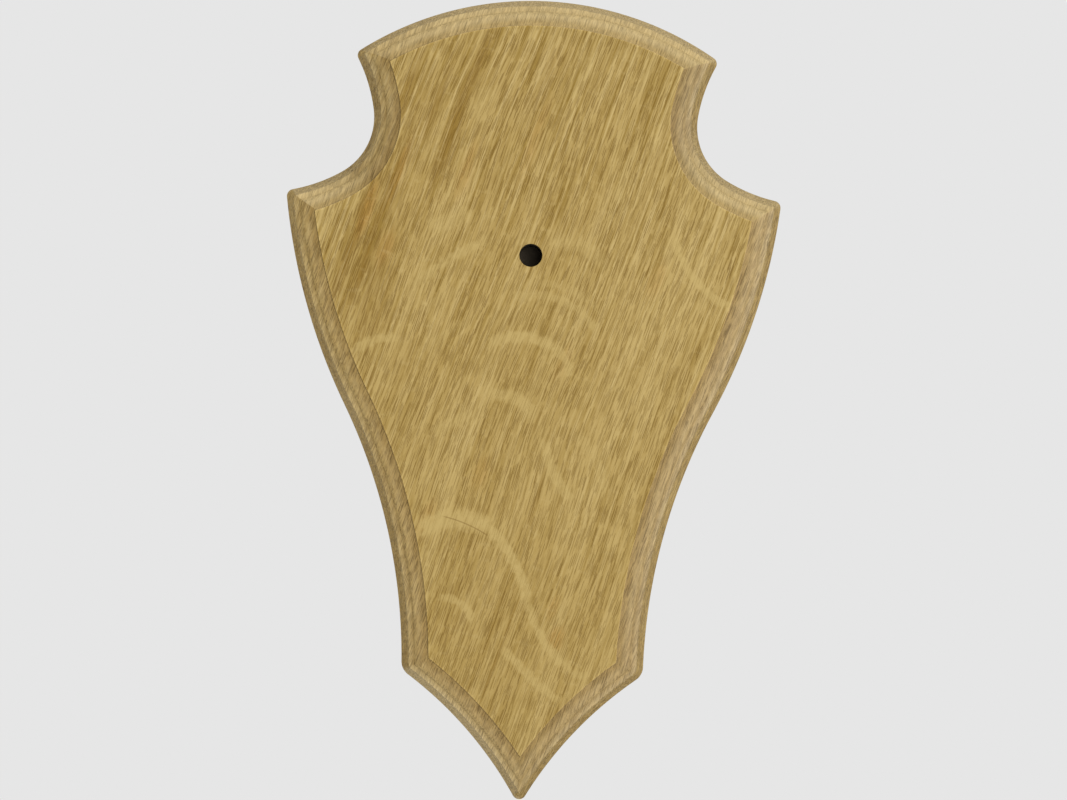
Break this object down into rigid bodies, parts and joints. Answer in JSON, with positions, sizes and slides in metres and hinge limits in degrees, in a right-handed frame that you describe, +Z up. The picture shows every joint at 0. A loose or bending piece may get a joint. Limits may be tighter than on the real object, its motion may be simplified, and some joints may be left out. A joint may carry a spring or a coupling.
{
  "type": "antler mounting plaque",
  "caption": "Shield-shaped oak trophy board with an arched top, notched shoulders, hollowed sides, a pointed foot, a moulded edge and a drilled hole for the antlers.",
  "frame": {"origin": "on the flat back where it meets the wall, on the centre line, level with the middle of the board's height", "axes": "+Z up towards the arched top; +Y into the wall, so the moulded front faces -Y; +X to the right as seen from the front"},
  "size_m": [0.1304, 0.018, 0.2109],
  "materials": {
    "oak": "oiled oak with an open grain, faintly shiny"
  },
  "bodies": {
    "root": {"shield_board": "oak"}
  },
  "joints": []
}
